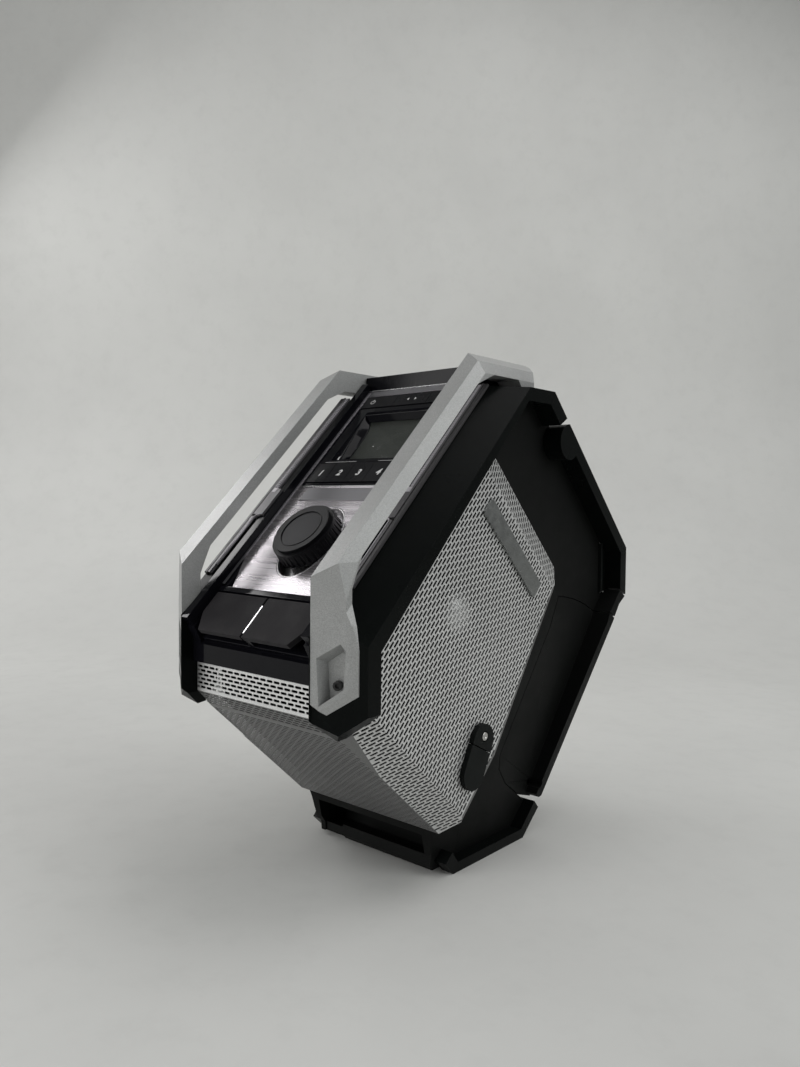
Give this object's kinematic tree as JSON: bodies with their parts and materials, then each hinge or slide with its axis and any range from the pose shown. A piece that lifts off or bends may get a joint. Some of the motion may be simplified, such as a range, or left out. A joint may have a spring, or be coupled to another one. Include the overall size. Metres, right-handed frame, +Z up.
{
  "type": "jobsite radio",
  "caption": "Eight-sided jobsite radio with roll bars, a sloping control console with a large knob and display, side grilles, folding handle and battery cover.",
  "frame": {"origin": "centre of the footprint of the whole radio, on the surface it stands on", "axes": "+X to the side that carries the inlet cover, -Y out of the console front, +Z up"},
  "size_m": [0.154, 0.2784, 0.3025],
  "materials": {
    "black_plastic": "satin black moulding",
    "black_bumper": "matt black bumper",
    "silver_bar": "silver paint with a fine sparkle",
    "steel": "bright",
    "trim": "ribbed grey strip",
    "grille_metal": "light grey paint",
    "brushed_plate": "brushed",
    "dish_metal": "dark",
    "gloss_black": "gloss",
    "lens": "clear",
    "lcd": "grey-green",
    "circuit_board": "green",
    "black_knob": "ribbed black",
    "rubber": "matt",
    "speaker_steel": "black",
    "cone": "paper and rubber",
    "battery_plastic": "textured",
    "badge": "bare",
    "button_black": "satin"
  },
  "bodies": {
    "radio": {"aux_socket": "black_plastic", "badge_plates": "badge", "base_tray": "black_plastic", "battery_pack": "battery_plastic", "battery_terminal": "black_plastic", "brushed_plate": "brushed_plate", "button_board": "circuit_board", "console_housing": "black_plastic", "dc_cover_plate": "rubber", "dc_jack": "black_plastic", "display_bezel": "gloss_black", "display_lens": "lens", "front_grille": "grille_metal", "handle_pivots": "steel", "handle_recess": "black_plastic", "hinge_pin": "steel", "housing_screws": "steel", "knob_dish": "dish_metal", "knob_encoder": "steel", "lcd_module": "lcd", "left_foot_bumper": "black_bumper", "left_front_frame": "black_plastic", "left_roll_bar": "silver_bar", "left_shell": "black_plastic", "left_side_grille": "grille_metal", "left_speaker_cone": "cone", "left_speaker_frame": "speaker_steel", "left_trim_rail": "trim", "main_board": "circuit_board", "port_panel": "black_plastic", "right_foot_bumper": "black_bumper", "right_front_frame": "black_plastic", "right_roll_bar": "silver_bar", "right_shell": "black_plastic", "right_side_grille": "grille_metal", "right_speaker_cone": "cone", "right_speaker_frame": "speaker_steel", "right_trim_rail": "trim", "roll_bar_screws": "steel", "speaker_baffle": "black_plastic", "usb_socket": "steel", "woofer_cone": "cone", "woofer_frame": "speaker_steel"},
    "knob": {"tuning_knob": "black_knob", "knob_cap": "gloss_black", "knob_shaft": "steel"},
    "usb_door": {"usb_door": "rubber"},
    "aux_door": {"aux_door": "rubber"},
    "dc_flap": {"dc_flap": "rubber"},
    "battery_cover": {"battery_cover": "black_plastic"},
    "cover_latch": {"cover_latch": "black_plastic"},
    "carry_handle": {"carry_handle": "black_bumper"},
    "preset_button_1": {"preset_button_1": "button_black"},
    "preset_button_2": {"preset_button_2": "button_black"},
    "preset_button_3": {"preset_button_3": "button_black"},
    "preset_button_4": {"preset_button_4": "button_black"},
    "preset_button_5": {"preset_button_5": "button_black"},
    "top_button_1": {"top_button_1": "button_black"},
    "top_button_2": {"top_button_2": "button_black"},
    "top_button_3": {"top_button_3": "button_black"}
  },
  "joints": [
    {"name": "knob_spin", "type": "hinge", "parent": "radio", "child": "knob", "pos_m": [0, -0.09645, 0.20053], "axis": [0, -0.7071, 0.7071], "continuous": true},
    {"name": "preset_press_1", "type": "slide", "parent": "radio", "child": "preset_button_1", "axis": [0, 0.7071, -0.7071], "range_m": [0, 0.001], "stiffness_N_per_m": 300, "springref_m": -0.0005},
    {"name": "preset_press_2", "type": "slide", "parent": "radio", "child": "preset_button_2", "axis": [0, 0.7071, -0.7071], "range_m": [0, 0.001], "stiffness_N_per_m": 300, "springref_m": -0.0005},
    {"name": "preset_press_3", "type": "slide", "parent": "radio", "child": "preset_button_3", "axis": [0, 0.7071, -0.7071], "range_m": [0, 0.001], "stiffness_N_per_m": 300, "springref_m": -0.0005},
    {"name": "preset_press_4", "type": "slide", "parent": "radio", "child": "preset_button_4", "axis": [0, 0.7071, -0.7071], "range_m": [0, 0.001], "stiffness_N_per_m": 300, "springref_m": -0.0005},
    {"name": "preset_press_5", "type": "slide", "parent": "radio", "child": "preset_button_5", "axis": [0, 0.7071, -0.7071], "range_m": [0, 0.001], "stiffness_N_per_m": 300, "springref_m": -0.0005},
    {"name": "top_press_1", "type": "slide", "parent": "radio", "child": "top_button_1", "axis": [0, 0.7071, -0.7071], "range_m": [0, 0.001], "stiffness_N_per_m": 300, "springref_m": -0.0005},
    {"name": "top_press_2", "type": "slide", "parent": "radio", "child": "top_button_2", "axis": [0, 0.7071, -0.7071], "range_m": [0, 0.001], "stiffness_N_per_m": 300, "springref_m": -0.0005},
    {"name": "top_press_3", "type": "slide", "parent": "radio", "child": "top_button_3", "axis": [0, 0.7071, -0.7071], "range_m": [0, 0.001], "stiffness_N_per_m": 300, "springref_m": -0.0005},
    {"name": "usb_door_hinge", "type": "hinge", "parent": "radio", "child": "usb_door", "pos_m": [0, -0.11957, 0.16228], "axis": [-1, 0, 0], "range_deg": [0, 105], "stiffness_Nm_per_rad": 0.004, "springref_deg": -14.32},
    {"name": "aux_door_hinge", "type": "hinge", "parent": "radio", "child": "aux_door", "pos_m": [0, -0.11957, 0.16228], "axis": [-1, 0, 0], "range_deg": [0, 105], "stiffness_Nm_per_rad": 0.004, "springref_deg": -14.32},
    {"name": "dc_flap_hinge", "type": "hinge", "parent": "radio", "child": "dc_flap", "pos_m": [0.0732, -0.02569, 0.07744], "axis": [0, -0.887, 0.4617], "range_deg": [0, 95], "stiffness_Nm_per_rad": 0.004, "springref_deg": -14.32},
    {"name": "carry_handle_hinge", "type": "hinge", "parent": "radio", "child": "carry_handle", "pos_m": [0, 0.0595, 0.25446], "axis": [1, 0, 0], "range_deg": [0, 112]},
    {"name": "battery_cover_hinge", "type": "hinge", "parent": "radio", "child": "battery_cover", "pos_m": [0, 0.06, 0.03259], "axis": [-1, 0, 0], "range_deg": [0, 70]},
    {"name": "cover_latch_hinge", "type": "hinge", "parent": "battery_cover", "child": "cover_latch", "pos_m": [0, 0.1125, 0.1198], "axis": [-1, 0, 0], "range_deg": [0, 35], "stiffness_Nm_per_rad": 0.05, "springref_deg": -11.46}
  ]
}
